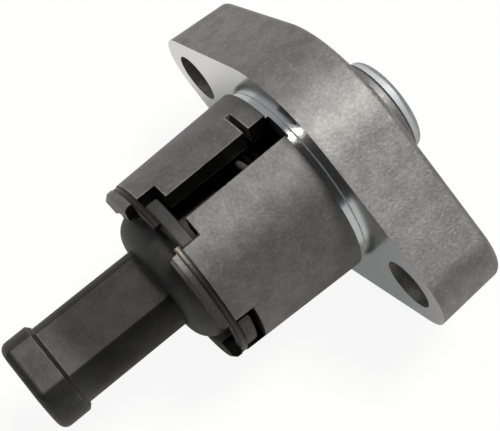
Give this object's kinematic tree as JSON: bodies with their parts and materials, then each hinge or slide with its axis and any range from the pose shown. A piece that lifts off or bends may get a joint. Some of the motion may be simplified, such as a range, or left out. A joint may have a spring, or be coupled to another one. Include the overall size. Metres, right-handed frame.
{
  "type": "timing chain tensioner",
  "caption": "Bolt-on timing chain tensioner: a cast flange and slotted nose guide a flatted push rod, driven out by a torsion spring through a lead screw.",
  "frame": {"origin": "centre of the flange's mounting face, midway between the two bolt holes, on the rod's axis", "axes": "+X along the push rod, out of the nose; Y along the line of the two bolt holes; +Z through the middle of the long slot in the nose"},
  "size_m": [0.054, 0.0506, 0.0324],
  "materials": {
    "cast_aluminium": "as cast, fine sandy grain, machined mounting face",
    "rod_steel": "dark heat-treated steel with worn edges",
    "guide_steel": "matte blackened sintered steel",
    "spring_steel": "oiled spring steel",
    "screw_steel": "turned steel, oiled",
    "zinc_plated_steel": "bright bluish zinc plate",
    "seal_rubber": "matte black rubber"
  },
  "bodies": {
    "housing": {"tensioner_body": "cast_aluminium", "rod_guide": "guide_steel", "snap_ring": "spring_steel", "torsion_spring": "spring_steel", "thrust_washer": "screw_steel", "end_plug": "zinc_plated_steel", "plug_seal": "seal_rubber"},
    "plunger": {"push_rod": "rod_steel"},
    "screw": {"lead_screw": "screw_steel"}
  },
  "joints": [
    {"name": "rod_slide", "type": "slide", "parent": "housing", "child": "plunger", "axis": [1, 0, 0], "range_m": [-0.01395, 0], "stiffness_N_per_m": 250, "springref_m": 0.02},
    {"name": "screw_turn", "type": "hinge", "parent": "housing", "child": "screw", "pos_m": [0, 0, 0], "axis": [1, 0, 0], "range_deg": [0, 419], "deforming": ["torsion_spring"]}
  ],
  "couplings": [
    {"joint": "screw_turn", "follows": "rod_slide", "rad_per_m": -523.6}
  ]
}
